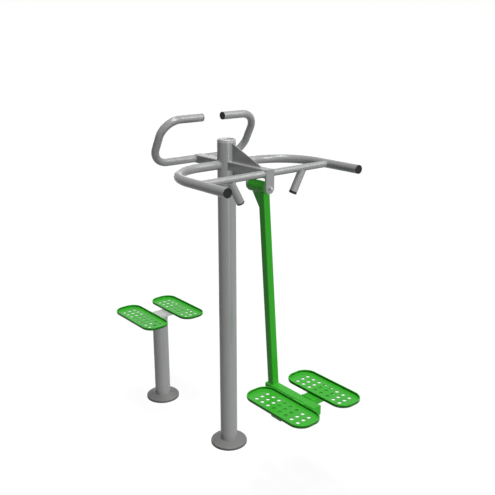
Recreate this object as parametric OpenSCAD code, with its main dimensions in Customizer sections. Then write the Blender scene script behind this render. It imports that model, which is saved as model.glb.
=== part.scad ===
// Outdoor twist and ski trainer: a main post with a swinging ski station on one side
// and a separate short post with a turning twist station on the other.
// Origin: the main post's axis on the ground. +X runs to the ski station, +Z is up.
// The whole piece is symmetrical about the plane y = 0.

/* [Ground posts] */
// Outside diameter of both posts
post_d = 90; // [80:1:110]
// Wall of both posts
post_wall = 3.6; // [3:0.1:4.5]
// Height of the main post's tube above the ground
main_post_top = 1626; // [1600:1:1700]
// Distance between the two post axes
post_spacing = 648; // [600:1:750]
// Diameter of the welded base flanges
flange_d = 160; // [156:1:166]
// Thickness of the base flanges
flange_t = 10; // [8:1:11]
// Circle of the anchor holes
anchor_pcd = 125; // [122:1:130]
// Anchor hole diameter
anchor_hole_d = 18; // [14:1:20]
// Number of anchor holes in each flange
anchor_count = 4; // [3:1:6]
// Diameter of the base covers
cover_d = 194; // [184:1:230]
// Height of a cover's outer rim
cover_rim_h = 14; // [13:1:18]
// Height of a cover where it meets the post
cover_top_h = 25; // [22:1:35]
// Sheet of the base covers
cover_wall = 2.5; // [1.5:0.5:3]
// Rounding of a cover's outer edge
cover_edge_r = 6; // [4:1:8]
// Radial room between a cover and its post
cover_gap = 0.5; // [0.3:0.1:0.9]
// Height of the rolled rim of the post cap
cap_rim_h = 16; // [12:1:20]
// Width of the rolled rim of the post cap
cap_rim_w = 10; // [8:1:12]
// Height of the cap's sunken disc above the tube
cap_disc_h = 9; // [5:1:11]
// Depth of the cap's plug in the tube
cap_plug_h = 20; // [10:1:30]

/* [Support arms] */
// Depth of the arms' centre below the main post's top
frame_drop = 107; // [100:1:120]
// Width of the rectangular arms
arm_w = 50; // [46:1:56]
// Height of the rectangular arms
arm_h = 40; // [38:1:44]
// Wall of the rectangular arms
arm_wall = 3; // [2:0.5:4]
// Corner rounding of the rectangular arms
arm_corner_r = 4; // [4:0.5:7]
// Front end of the front arm
front_arm_end = 305; // [295:1:325]
// Thickness of the gussets
gusset_t = 5; // [4:1:8]
// Height of the upper gusset on the post
top_gusset_h = 84; // [60:1:86]
// Length of the upper gusset on the arm
top_gusset_l = 204; // [150:1:230]
// Height of the lower gusset on the post
under_gusset_h = 45; // [30:1:60]
// Length of the lower gusset under the arm
under_gusset_l = 100; // [70:1:110]
// Blunt edge left at the gussets' thin ends
gusset_nose = 5; // [3:1:8]
// Gap filled by the weld where a curved end meets another tube
weld_gap = 0.1; // [0.1:0.1:0.3]

/* [Ski handle frame] */
// Diameter of the outer handle tubes
frame_tube_d = 42; // [38:1:46]
// Wall of the handle tubes
handle_wall = 2.5; // [2:0.5:3]
// Place of the frame's root tubes along x
frame_root_x = -7; // [-20:1:5]
// Half width between the two grip axes
frame_half_w = 386; // [350:1:420]
// Bend radius of the outer handle tubes
frame_bend_r = 235; // [180:1:250]
// End of the grip tubes
grip_end_x = 493; // [450:1:520]
// Place of the crossbar along x
crossbar_x = 296; // [280:1:300]
// Diameter of the crossbar
crossbar_d = 32; // [28:1:34]
// Place of the stub handles' roots on the crossbar
stub_root_y = 221; // [190:1:240]
// Length of a stub handle from the crossbar axis
stub_len = 130; // [100:1:140]
// Lean of a stub handle inwards from the vertical
stub_lean = 29.7; // [20:0.1:35]
// Diameter of the stub handles and of the twister handle
stub_d = 38; // [34:1:40]
// Thickness of a grip cap's flange
tube_cap_t = 5; // [3:0.5:6]
// Thickness of a stub handle cap's flange
stub_cap_t = 8; // [5:0.5:9]
// Rounding of a tube cap's front edge
tube_cap_r = 2.5; // [1.5:0.5:3]
// Depth of the shallow dish in a tube cap's face
tube_dish = 1.5; // [1:0.5:2]
// Depth of a tube cap's plug
tube_plug_l = 22; // [15:1:30]

/* [Twister handle] */
// Place of the handle's lower tube along x
twist_handle_x = -229; // [-260:1:-200]
// Half width of the handle
twist_handle_half_w = 278; // [240:1:300]
// Distance from the lower tube to the grips, along the handle's own plane
twist_handle_rise = 248; // [220:1:280]
// Bend radius of the handle's corners
twist_handle_r = 92; // [70:1:105]
// Lean of the handle towards the post
twist_handle_lean = 29; // [20:0.5:35]
// Half of the gap between the two grip tubes
twist_grip_half_gap = 64; // [40:1:80]

/* [Swing pivot] */
// Depth of the pivot axis below the arms' centre
pivot_drop = 67; // [62:1:74]
// Diameter of the swing barrel
barrel_d = 57; // [54:1:60]
// Rear end of the swing barrel
barrel_rear_x = 186; // [170:1:190]
// Width of the pivot ears
ear_w = 48; // [42:1:50]
// Thickness of the pivot ears
ear_t = 10; // [8:1:12]
// Diameter of the pivot axle between the ears
axle_d = 20; // [18:1:22]
// Diameter of the axle's threaded ends
axle_end_d = 12; // [10:1:16]
// Outside diameter of the swing bearings
swing_bearing_d = 47; // [44:1:47]
// Width of the swing bearings
swing_bearing_w = 14; // [12:1:16]
// Depth of a swing bearing inside the barrel's end
swing_bearing_set = 3; // [2:0.5:4]
// Thickness of the dust washers between ears and barrel
dust_washer_t = 3; // [2:0.5:4]
// Diameter of the dust washers
dust_washer_d = 50; // [48:1:54]
// Width across flats of the axle nuts
nut_af = 19; // [18:1:24]
// Height of the axle nuts without their dome
nut_h = 7; // [6:1:10]
// Thickness of the washers under the axle nuts
washer_t = 2.5; // [2:0.5:3]
// Diameter of the washers under the axle nuts
washer_d = 24; // [24:1:30]
// Play between parts that turn past each other
run_gap = 0.3; // [0.3:0.1:0.6]
// Radial play of a shaft in its bearings
shaft_play = 0.05; // [0.02:0.01:0.08]
// Radial room of a part seated in a bore
seat_play = 0.02; // [0.02:0.01:0.05]

/* [Swing arm and beam] */
// Side of the square swing arm
swing_arm_s = 38; // [34:1:42]
// Wall of the swing arm and of the foot beams
swing_wall = 2.5; // [2:0.5:3]
// Corner rounding of the swing arm and of the foot beams
swing_corner_r = 4; // [3:0.5:6]
// Place of the arm's foot along x, on its centre line
arm_foot_x = 352; // [345:1:360]
// Forward lean of the swing arm
swing_arm_lean = 4.9; // [4:0.1:6]
// Thickness of the web between barrel and arm
web_t = 8; // [6:1:10]
// Length of the web along the arm
web_drop = 96; // [70:1:120]
// Rear end of the web on the barrel
web_rear_x = 196; // [190:1:205]
// Width of the foot beam
foot_beam_w = 50; // [42:1:56]
// Height of the foot beam
foot_beam_h = 48; // [42:1:52]
// Depth of the foot beam's top below the footplates
foot_beam_drop = 3; // [0:0.5:4]
// Rear end of the foot beam
foot_beam_rear = 321; // [315:1:330]
// Front end of the foot beam
foot_beam_front = 648; // [620:1:680]
// Thickness of the plates that close the foot beam's ends
end_plate_t = 3; // [2:0.5:4]
// Width of the foot crossbar
foot_cross_w = 65; // [60:1:70]
// Height of the foot crossbar
foot_cross_h = 40; // [34:1:42]
// Half length of the foot crossbar
foot_cross_half_l = 170; // [140:1:180]

/* [Footplates] */
// Length of a footplate
plate_l = 393; // [360:1:420]
// Width of a footplate
plate_w = 158; // [140:1:170]
// Corner radius of a footplate
plate_corner_r = 64; // [50:1:68]
// Height of a footplate's rim over its underside
plate_rim_h = 16.6; // [14:0.1:22]
// Sheet of the footplates
plate_t = 3; // [2.5:0.5:4]
// Width of the rounded lip on a footplate's rim
plate_lip_w = 6; // [4:0.5:7]
// Outer radius of the pressed edge under the rim
plate_edge_r = 6; // [5:0.5:8]
// Diameter of the drain holes
hole_d = 18; // [14:1:22]
// Pitch of the drain holes along the plate
hole_pitch_x = 39; // [36:0.5:42]
// Pitch of the drain holes across the plate
hole_pitch_y = 33.5; // [28:0.5:38]
// Drain holes along the plate
hole_cols = 8; // [6:1:8]
// Drain holes across the plate
hole_rows = 3; // [1:2:3]
// Place of the ski footplates along x
ski_plate_x = 558; // [545:1:570]
// Place of the ski footplates from the middle plane
ski_plate_y = 132.5; // [125:0.5:145]
// Height of the ski footplates' underside
ski_plate_z = 498.6; // [480:0.1:520]

/* [Twister] */
// Place of the twist footplates from the middle plane
twist_plate_y = 123.5; // [120:0.5:140]
// Height of the twist footplates' underside
twist_plate_z = 540.8; // [520:0.1:560]
// Width of the flat bar under the twist footplates
twist_bar_w = 90; // [80:1:100]
// Thickness of the flat bar under the twist footplates
twist_bar_t = 12; // [10:1:14]
// Half length of the flat bar under the twist footplates
twist_bar_half_l = 165; // [150:1:185]
// Thickness of the hub disc between bar and post
hub_t = 8; // [6:1:10]
// Diameter of the hub disc
hub_d = 84; // [76:1:88]
// Room between the hub disc and the post's top
hub_gap = 1; // [0.5:0.1:2]
// Diameter of the twister spindle
spindle_d = 30; // [28:1:32]
// Outside diameter of the twister bearings
twist_bearing_d = 62; // [60:1:62]
// Width of the twister bearings
twist_bearing_w = 16; // [14:1:18]
// Length of the bearing housing
housing_l = 94; // [80:1:110]
// Width of the shoulder that the bearings seat on in the housing
housing_land = 3.5; // [3:0.5:4]
// Depth of the housing's upper end inside the post
housing_set = 2; // [1:0.5:3]
// Thickness of the ring that holds the lower bearing
circlip_t = 2; // [1.5:0.5:2.5]
// Depth of the ring's groove in the housing
circlip_groove = 1.5; // [1:0.1:2]

/* [Hidden] */
$fn = 64;

steel_grey = [0.66, 0.67, 0.69];
plate_grey = [0.60, 0.61, 0.62];
base_grey = [0.45, 0.46, 0.47];
leaf_green = [0.20, 0.68, 0.18];
cap_black = [0.07, 0.07, 0.07];
bright_steel = [0.78, 0.79, 0.80];
dark_steel = [0.35, 0.36, 0.38];

SIDES = [-1, 1];
eps = 1;
post_r = post_d / 2;
post_bore_r = post_r - post_wall;
twist_x = -post_spacing;
frame_z = main_post_top - frame_drop;
pivot_z = frame_z - pivot_drop;
arm_top = frame_z + arm_h / 2;
arm_under = frame_z - arm_h / 2;
frame_r = frame_tube_d / 2;
frame_bend_y = frame_half_w - frame_bend_r;
frame_bend_x = frame_root_x + frame_bend_r;
crossbar_r = crossbar_d / 2;
crossbar_root_y = arm_w / 2 + weld_gap;
stub_r = stub_d / 2;
stub_start = crossbar_r - 3;
twist_side = twist_handle_half_w - twist_handle_r;

front_ear_x = front_arm_end;
barrel_front_x = front_ear_x - dust_washer_t - run_gap;
rear_ear_x = barrel_rear_x - run_gap - dust_washer_t - ear_t;
barrel_r = barrel_d / 2;
barrel_bore_r = swing_bearing_d / 2;
barrel_l = barrel_front_x - barrel_rear_x;
bearing_gap_l = barrel_l - 2 * (swing_bearing_set + swing_bearing_w);

swing_arm_run = swing_arm_s / 2 / cos(swing_arm_lean);
arm_slope = tan(swing_arm_lean);
foot_beam_top = ski_plate_z - foot_beam_drop;
foot_beam_mid = foot_beam_top - foot_beam_h / 2;
foot_under = foot_beam_top - foot_beam_h;
swing_arm_l = (pivot_z - foot_under) / cos(swing_arm_lean);
web_foot_z = pivot_z - barrel_r - web_drop;
foot_cross_x = ski_plate_x;
foot_cross_mid = ski_plate_z - foot_cross_h / 2;

twist_bar_under = twist_plate_z - twist_bar_t;
hub_under = twist_bar_under - hub_t;
twist_post_top = hub_under - hub_gap;
housing_top = twist_post_top - housing_set;
housing_r = post_bore_r - seat_play;
housing_bottom = housing_top - housing_l;
twist_bearing_r = twist_bearing_d / 2;
upper_bearing_z = housing_top - housing_set - twist_bearing_w;
circlip_z = housing_bottom + circlip_t;
lower_bearing_z = circlip_z + circlip_t;
spindle_r = spindle_d / 2;
spindle_shoulder_r = spindle_r + 5;
spindle_end_r = spindle_r - 5;
spindle_washer_t = 3;
spindle_nut_h = 16;
spindle_nut_af = 32;

// Place along x of the swing arm's centre line at a height
function arm_x(z) = arm_foot_x - (z - ski_plate_z) * arm_slope;

// Flat ring outline
module ring(d, wall) {
    difference() {
        circle(d = d);
        circle(d = d - 2 * wall);
    }
}

// Round tube along +z
module pipe(len, d, wall) {
    linear_extrude(len) ring(d, wall);
}

// Round tube bent about z, starting over +x
module pipe_bend(r, angle, d, wall) {
    rotate_extrude(angle = angle) translate([r, 0]) ring(d, wall);
}

// Rectangle with round corners, centred
module round_rect(a, b, r) {
    square([a - 2 * r, b], center = true);
    square([a, b - 2 * r], center = true);
    for (sx = SIDES, sy = SIDES) {
        translate([sx * (a / 2 - r), sy * (b / 2 - r)]) circle(r = r);
    }
}

// Rectangular tube along +z, a wide along x and b wide along y
module box_pipe(len, a, b, wall, r) {
    linear_extrude(len) difference() {
        round_rect(a, b, r);
        round_rect(a - 2 * wall, b - 2 * wall, r - wall + 0.5);
    }
}

// Rectangular tube along +x between two places, w wide and h high
module level_box(x0, x1, w, h, wall, r) {
    translate([x0, 0, 0]) rotate([0, 90, 0]) box_pipe(x1 - x0, h, w, wall, r);
}

// Solid ring along +z
module disc_ring(h, r_out, r_in) {
    linear_extrude(h) difference() {
        circle(r = r_out);
        circle(r = r_in);
    }
}

// Post outline with the weld gap, to shape the ends that meet a post
module post_cope() {
    cylinder(r = post_r + weld_gap, h = 2 * frame_z);
}

// Plug cap with a dished face, for a round tube that ends at z = 0 and points up
module tube_cap(d, wall, flange) {
    edge_r = d / 2 - tube_cap_r;
    dish_r = edge_r - tube_cap_r;
    ball_r = (dish_r * dish_r + tube_dish * tube_dish) / (2 * tube_dish);
    rotate_extrude() difference() {
        union() {
            square([d / 2, flange - tube_cap_r]);
            square([edge_r, flange]);
            translate([edge_r, flange - tube_cap_r]) circle(r = tube_cap_r);
        }
        translate([0, flange - tube_dish + ball_r]) circle(r = ball_r);
    }
    plug_r = d / 2 - wall - seat_play;
    translate([0, 0, -tube_plug_l]) disc_ring(tube_plug_l + 0.5, plug_r, plug_r - 3);
}

// Base flange with its ring of anchor holes
module base_flange() {
    linear_extrude(flange_t) difference() {
        circle(d = flange_d);
        for (i = [0 : anchor_count - 1]) {
            rotate(45 + i * 360 / anchor_count) translate([anchor_pcd / 2, 0]) circle(d = anchor_hole_d);
        }
    }
}

// Half section of a base cover, drawn in by an inset on its outer side
module cover_section(inset, low) {
    edge = cover_edge_r - inset;
    edge_x = cover_d / 2 - cover_edge_r;
    rim = cover_rim_h - inset;
    hole = post_r + cover_gap;
    polygon([[hole, low], [edge_x, low], [edge_x, rim], [hole, cover_top_h - inset]]);
    translate([edge_x - eps, low]) square([eps + edge, rim - edge - low]);
    translate([edge_x, rim - edge]) circle(r = edge);
}

// Pressed cover over a base flange
module base_cover() {
    rotate_extrude() difference() {
        cover_section(0, 0);
        cover_section(cover_wall, -eps);
    }
}

// Rim section of a footplate, measured from the corner's centre
module rim_section() {
    bend_x = plate_corner_r - plate_edge_r;
    lip_r = plate_lip_w / 2;
    intersection() {
        translate([bend_x, plate_edge_r]) difference() {
            circle(r = plate_edge_r);
            circle(r = plate_edge_r - plate_t);
        }
        translate([bend_x, 0]) square(plate_edge_r);
    }
    wall_h = plate_rim_h - lip_r - plate_edge_r;
    translate([plate_corner_r - plate_t, plate_edge_r]) square([plate_t, wall_h]);
    translate([plate_corner_r - lip_r, plate_rim_h - lip_r]) circle(r = lip_r);
}

// Perforated footplate with a raised rim, centred, its underside at z = 0
module footplate() {
    half_x = plate_l / 2 - plate_corner_r;
    half_y = plate_w / 2 - plate_corner_r;
    inset = plate_edge_r;
    linear_extrude(plate_t) difference() {
        round_rect(plate_l - 2 * inset, plate_w - 2 * inset, plate_corner_r - inset);
        for (i = [0 : hole_cols - 1], j = [0 : hole_rows - 1]) {
            hx = (i - (hole_cols - 1) / 2) * hole_pitch_x;
            hy = (j - (hole_rows - 1) / 2) * hole_pitch_y;
            translate([hx, hy]) circle(d = hole_d);
        }
    }
    for (q = [0 : 3]) {
        sx = q == 0 || q == 3 ? 1 : -1;
        sy = q < 2 ? 1 : -1;
        translate([sx * half_x, sy * half_y, 0]) rotate(90 * q) rotate_extrude(angle = 90) rim_section();
    }
    for (s = SIDES) {
        rotate(s > 0 ? 0 : 180) translate([half_x, half_y, 0]) rotate([90, 0, 0])
            linear_extrude(2 * half_y) rim_section();
        rotate(s > 0 ? 90 : 270) translate([half_y, half_x, 0]) rotate([90, 0, 0])
            linear_extrude(2 * half_x) rim_section();
    }
}

// Domed hexagon nut that stands on z = 0
module cap_nut(af, h, bore_d, depth) {
    dome_r = af / 2 - 1;
    difference() {
        union() {
            cylinder(d = af / cos(30), h = h, $fn = 6);
            translate([0, 0, h]) rotate_extrude() intersection() {
                circle(r = dome_r);
                square([dome_r, dome_r * 0.8]);
            }
        }
        translate([0, 0, -eps]) cylinder(d = bore_d + 0.2, h = depth + eps);
    }
}

// Sealed ball bearing as one ring, with sunken seals
module bearing(d_out, d_in, w) {
    r_out = d_out / 2 - seat_play;
    r_in = d_in / 2 + shaft_play;
    race = (r_out - r_in) * 0.28;
    difference() {
        disc_ring(w, r_out, r_in);
        translate([0, 0, w - 0.8]) disc_ring(eps, r_out - race, r_in + race);
        translate([0, 0, 0.8 - eps]) disc_ring(eps, r_out - race, r_in + race);
    }
}

// Plate in the plane y = 0 from an outline given as [x, z] points
module middle_plate(t) {
    translate([0, t / 2, 0]) rotate([90, 0, 0]) linear_extrude(t) children();
}

module main_flange() {
    color(base_grey) base_flange();
}

module main_post() {
    color(steel_grey) translate([0, 0, flange_t]) pipe(main_post_top - flange_t, post_d, post_wall);
}

module main_base_cover() {
    color(base_grey) base_cover();
}

module post_cap() {
    bead_r = cap_rim_w / 2;
    color(steel_grey) translate([0, 0, main_post_top]) {
        rotate_extrude() union() {
            square([post_r - bead_r, cap_disc_h]);
            translate([post_r - cap_rim_w, 0]) square([cap_rim_w, cap_rim_h - bead_r]);
            translate([post_r - bead_r, cap_rim_h - bead_r]) circle(r = bead_r);
        }
        translate([0, 0, -cap_plug_h])
            disc_ring(cap_plug_h + 0.5, post_bore_r - seat_play, post_bore_r - post_wall);
    }
}

module front_arm() {
    color(plate_grey) difference() {
        translate([0, 0, frame_z]) level_box(0, front_arm_end, arm_w, arm_h, arm_wall, arm_corner_r);
        post_cope();
    }
}

module rear_arm() {
    color(plate_grey) difference() {
        translate([0, 0, frame_z]) level_box(twist_handle_x, 0, arm_w, arm_h, arm_wall, arm_corner_r);
        post_cope();
        translate([twist_handle_x, -arm_w, frame_z]) rotate([-90, 0, 0])
            cylinder(r = stub_r + weld_gap, h = 2 * arm_w);
    }
}

module top_gusset() {
    root = post_r + weld_gap;
    tip = post_r + top_gusset_l;
    color(plate_grey) middle_plate(gusset_t) polygon([
        [root, arm_top], [tip, arm_top], [tip, arm_top + gusset_nose],
        [root + gusset_nose, arm_top + top_gusset_h], [root, arm_top + top_gusset_h]
    ]);
}

module under_gusset() {
    root = post_r + weld_gap;
    tip = post_r + under_gusset_l;
    color(plate_grey) middle_plate(gusset_t) polygon([
        [root, arm_under], [tip, arm_under], [tip, arm_under - gusset_nose],
        [root + gusset_nose, arm_under - under_gusset_h], [root, arm_under - under_gusset_h]
    ]);
}

// Outer handle tube of one side, from the post round the back corner to the grip
module ski_frame() {
    color(steel_grey) difference() {
        translate([0, 0, frame_z]) {
            translate([frame_root_x, 0, 0]) rotate([-90, 0, 0]) pipe(frame_bend_y, frame_tube_d, handle_wall);
            translate([frame_bend_x, frame_bend_y, 0]) rotate(90)
                pipe_bend(frame_bend_r, 90, frame_tube_d, handle_wall);
            translate([frame_bend_x, frame_half_w, 0]) rotate([0, 90, 0])
                pipe(grip_end_x - frame_bend_x, frame_tube_d, handle_wall);
        }
        post_cope();
    }
}

module ski_frame_left() {
    mirror([0, 1, 0]) ski_frame();
}

module ski_frame_right() {
    ski_frame();
}

// Half of the crossbar, from the front arm to a grip tube
module ski_crossbar() {
    color(steel_grey) difference() {
        translate([crossbar_x, crossbar_root_y, frame_z]) rotate([-90, 0, 0])
            pipe(frame_half_w - crossbar_root_y, crossbar_d, handle_wall);
        translate([frame_bend_x - eps, frame_half_w, frame_z]) rotate([0, 90, 0])
            cylinder(r = frame_r + weld_gap, h = grip_end_x);
    }
}

module ski_crossbar_left() {
    mirror([0, 1, 0]) ski_crossbar();
}

module ski_crossbar_right() {
    ski_crossbar();
}

// Puts children at a stub handle's root, with +z along the handle
module stub_place() {
    translate([crossbar_x, stub_root_y, frame_z]) rotate([180 - stub_lean, 0, 0]) children();
}

module stub_handle() {
    color(steel_grey) difference() {
        stub_place() translate([0, 0, stub_start])
            pipe(stub_len - stub_cap_t - stub_start, stub_d, handle_wall);
        translate([crossbar_x, 0, frame_z]) rotate([-90, 0, 0])
            cylinder(r = crossbar_r + weld_gap, h = frame_half_w);
    }
}

module stub_handle_left() {
    mirror([0, 1, 0]) stub_handle();
}

module stub_handle_right() {
    stub_handle();
}

module ski_grip_caps() {
    color(cap_black) for (s = SIDES) {
        translate([grip_end_x, s * frame_half_w, frame_z]) rotate([0, 90, 0])
            tube_cap(frame_tube_d, handle_wall, tube_cap_t);
    }
}

module stub_handle_caps() {
    color(cap_black) for (s = [0, 1]) {
        mirror([0, s, 0]) stub_place() translate([0, 0, stub_len - stub_cap_t])
            tube_cap(stub_d, handle_wall, stub_cap_t);
    }
}

// Leaning plane of the twister handle: y across, z up along the plane
module twist_handle_place() {
    translate([twist_handle_x, 0, frame_z]) rotate([0, twist_handle_lean, 0]) children();
}

// One side of the twister handle above its lower tube
module twist_handle_side() {
    rotate([90, 0, 90]) {
        translate([twist_side, twist_handle_r, 0]) rotate(-90)
            pipe_bend(twist_handle_r, 90, stub_d, handle_wall);
        translate([twist_handle_half_w, twist_handle_r, 0]) rotate([-90, 0, 0])
            pipe(twist_handle_rise - 2 * twist_handle_r, stub_d, handle_wall);
        translate([twist_side, twist_handle_rise - twist_handle_r, 0])
            pipe_bend(twist_handle_r, 90, stub_d, handle_wall);
        translate([twist_grip_half_gap, twist_handle_rise, 0]) rotate([0, 90, 0])
            pipe(twist_side - twist_grip_half_gap, stub_d, handle_wall);
    }
}

module twist_handle() {
    color(steel_grey) twist_handle_place() {
        translate([0, -twist_side, 0]) rotate([-90, 0, 0]) pipe(2 * twist_side, stub_d, handle_wall);
        twist_handle_side();
        mirror([0, 1, 0]) twist_handle_side();
    }
}

module twist_handle_caps() {
    color(cap_black) twist_handle_place() for (s = [0, 1]) {
        mirror([0, s, 0]) translate([0, twist_grip_half_gap, twist_handle_rise]) rotate([90, 0, 0])
            tube_cap(stub_d, handle_wall, tube_cap_t);
    }
}

// Outline of a pivot ear in its own plane: across is x, up is y, the axle hole at the origin
module ear_outline(top) {
    difference() {
        union() {
            circle(d = ear_w);
            translate([-ear_w / 2, 0]) square([ear_w, top]);
        }
        circle(d = axle_end_d + 0.2);
    }
}

// Ear plate that starts at x and hangs from a height above the axle
module ear(x, top) {
    color(plate_grey) translate([x, 0, pivot_z]) rotate([90, 0, 90]) linear_extrude(ear_t) ear_outline(top);
}

module front_ear() {
    ear(front_ear_x, arm_top - pivot_z);
}

module rear_ear() {
    ear(rear_ear_x, arm_under - pivot_z);
}

// Puts children on the pivot axis at a place along x, with +z along +x
module on_pivot(x) {
    translate([x, 0, pivot_z]) rotate([0, 90, 0]) children();
}

module pivot_axle() {
    rear_end = rear_ear_x - washer_t - nut_h;
    front_end = front_ear_x + ear_t + washer_t + nut_h;
    color(bright_steel) {
        on_pivot(rear_ear_x + ear_t) cylinder(d = axle_d, h = front_ear_x - rear_ear_x - ear_t);
        on_pivot(rear_end) cylinder(d = axle_end_d, h = front_end - rear_end);
    }
}

module axle_washers() {
    washer_hole_r = axle_end_d / 2 + 0.2;
    color(bright_steel) {
        on_pivot(rear_ear_x - washer_t) disc_ring(washer_t, washer_d / 2, washer_hole_r);
        on_pivot(front_ear_x + ear_t) disc_ring(washer_t, washer_d / 2, washer_hole_r);
    }
}

module axle_nuts() {
    color(bright_steel) {
        on_pivot(front_ear_x + ear_t + washer_t) cap_nut(nut_af, nut_h, axle_end_d, nut_h + 0.3);
        on_pivot(rear_ear_x - washer_t) rotate([180, 0, 0]) cap_nut(nut_af, nut_h, axle_end_d, nut_h + 0.3);
    }
}

module dust_washers() {
    washer_hole_r = axle_d / 2 + 0.1;
    color(bright_steel) {
        on_pivot(rear_ear_x + ear_t) disc_ring(dust_washer_t, dust_washer_d / 2, washer_hole_r);
        on_pivot(front_ear_x - dust_washer_t) disc_ring(dust_washer_t, dust_washer_d / 2, washer_hole_r);
    }
}

module swing_barrel() {
    color(leaf_green) on_pivot(barrel_rear_x) disc_ring(barrel_l, barrel_r, barrel_bore_r);
}

module swing_bearings() {
    color(dark_steel) {
        on_pivot(barrel_rear_x + swing_bearing_set) bearing(swing_bearing_d, axle_d, swing_bearing_w);
        on_pivot(barrel_front_x - swing_bearing_set - swing_bearing_w)
            bearing(swing_bearing_d, axle_d, swing_bearing_w);
    }
}

module swing_spacer() {
    outer_r = barrel_bore_r - seat_play;
    color(dark_steel) on_pivot(barrel_rear_x + swing_bearing_set + swing_bearing_w)
        disc_ring(bearing_gap_l, outer_r, outer_r - 3);
}

// Square arm that leans forward on its way down from the barrel to the foot beam
module swing_arm() {
    color(leaf_green) difference() {
        translate([arm_x(foot_under), 0, foot_under]) rotate([0, -swing_arm_lean, 0])
            box_pipe(swing_arm_l, swing_arm_s, swing_arm_s, swing_wall, swing_corner_r);
        on_pivot(0) cylinder(r = barrel_r + weld_gap, h = 2 * front_ear_x);
        translate([0, -swing_arm_s, 0]) cube([2 * arm_foot_x, 2 * swing_arm_s, foot_beam_top]);
    }
}

module swing_web() {
    barrel_under = pivot_z - barrel_r;
    arm_rear_top = arm_x(barrel_under) - swing_arm_run - weld_gap;
    arm_rear_foot = arm_x(web_foot_z) - swing_arm_run - weld_gap;
    color(leaf_green) middle_plate(web_t) polygon([
        [web_rear_x, barrel_under - weld_gap], [arm_rear_top, barrel_under - weld_gap],
        [arm_rear_foot, web_foot_z], [arm_rear_foot - gusset_nose / 2, web_foot_z + gusset_nose]
    ]);
}

module foot_beam() {
    tube_rear = foot_beam_rear + end_plate_t;
    tube_front = foot_beam_front - end_plate_t;
    color(leaf_green) translate([0, 0, foot_beam_mid])
        level_box(tube_rear, tube_front, foot_beam_w, foot_beam_h, swing_wall, swing_corner_r);
}

module foot_beam_ends() {
    color(leaf_green) for (x = [foot_beam_rear, foot_beam_front - end_plate_t]) {
        translate([x, 0, foot_beam_mid]) rotate([0, 90, 0])
            linear_extrude(end_plate_t) round_rect(foot_beam_h, foot_beam_w, swing_corner_r);
    }
}

module foot_crossbar() {
    half_l = foot_cross_half_l - end_plate_t;
    color(leaf_green) for (s = SIDES) {
        translate([foot_cross_x, s > 0 ? foot_beam_w / 2 : -half_l, foot_cross_mid]) rotate([-90, 0, 0])
            box_pipe(half_l - foot_beam_w / 2, foot_cross_w, foot_cross_h, swing_wall, swing_corner_r);
    }
}

module foot_crossbar_ends() {
    color(leaf_green) for (y = [-foot_cross_half_l, foot_cross_half_l - end_plate_t]) {
        translate([foot_cross_x, y, foot_cross_mid]) rotate([-90, 0, 0])
            linear_extrude(end_plate_t) round_rect(foot_cross_w, foot_cross_h, swing_corner_r);
    }
}

module ski_plate_left() {
    color(leaf_green) translate([ski_plate_x, -ski_plate_y, ski_plate_z]) footplate();
}

module ski_plate_right() {
    color(leaf_green) translate([ski_plate_x, ski_plate_y, ski_plate_z]) footplate();
}

module twist_flange() {
    color(base_grey) translate([twist_x, 0, 0]) base_flange();
}

module twist_post() {
    color(steel_grey) translate([twist_x, 0, flange_t]) pipe(twist_post_top - flange_t, post_d, post_wall);
}

module twist_base_cover() {
    color(base_grey) translate([twist_x, 0, 0]) base_cover();
}

// Tube fixed in the short post, with a seat for a bearing at each end
module bearing_housing() {
    lower_seat_l = lower_bearing_z + twist_bearing_w - housing_bottom;
    color(dark_steel) translate([twist_x, 0, 0]) difference() {
        translate([0, 0, housing_bottom]) disc_ring(housing_l, housing_r, twist_bearing_r - housing_land);
        translate([0, 0, upper_bearing_z]) cylinder(r = twist_bearing_r, h = housing_l);
        translate([0, 0, housing_bottom - eps]) cylinder(r = twist_bearing_r, h = lower_seat_l + eps);
        translate([0, 0, circlip_z]) cylinder(r = twist_bearing_r + circlip_groove, h = circlip_t);
    }
}

module twist_bearings() {
    color(dark_steel) for (z = [lower_bearing_z, upper_bearing_z]) {
        translate([twist_x, 0, z]) bearing(twist_bearing_d, spindle_d, twist_bearing_w);
    }
}

module bearing_circlip() {
    clip_r = twist_bearing_r + circlip_groove - seat_play;
    color(bright_steel) translate([twist_x, 0, circlip_z + seat_play])
        disc_ring(circlip_t - 2 * seat_play, clip_r, twist_bearing_r - housing_land);
}

module twist_bar() {
    color(steel_grey) translate([twist_x, 0, twist_bar_under]) linear_extrude(twist_bar_t)
        round_rect(twist_bar_w, 2 * twist_bar_half_l, swing_corner_r);
}

// Hub disc and stepped shaft that turn with the footplates
module twist_spindle() {
    shoulder_z = upper_bearing_z + twist_bearing_w + run_gap;
    shaft_end = lower_bearing_z - run_gap;
    stud_end = shaft_end - spindle_washer_t - spindle_nut_h;
    color(dark_steel) translate([twist_x, 0, 0]) union() {
        translate([0, 0, hub_under]) cylinder(d = hub_d, h = hub_t);
        translate([0, 0, shoulder_z]) cylinder(r = spindle_shoulder_r, h = hub_under - shoulder_z);
        translate([0, 0, shaft_end]) cylinder(r = spindle_r, h = hub_under - shaft_end);
        translate([0, 0, stud_end]) cylinder(r = spindle_end_r, h = hub_under - stud_end);
    }
}

module spindle_washer() {
    z = lower_bearing_z - run_gap - spindle_washer_t;
    color(bright_steel) translate([twist_x, 0, z])
        disc_ring(spindle_washer_t, spindle_shoulder_r, spindle_end_r + 0.1);
}

module spindle_nut() {
    z = lower_bearing_z - run_gap - spindle_washer_t - spindle_nut_h;
    color(bright_steel) translate([twist_x, 0, z]) difference() {
        cylinder(d = spindle_nut_af / cos(30), h = spindle_nut_h, $fn = 6);
        translate([0, 0, -eps]) cylinder(r = spindle_end_r + 0.1, h = spindle_nut_h + 2 * eps);
    }
}

module twist_plate_left() {
    color(leaf_green) translate([twist_x, -twist_plate_y, twist_plate_z]) footplate();
}

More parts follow.
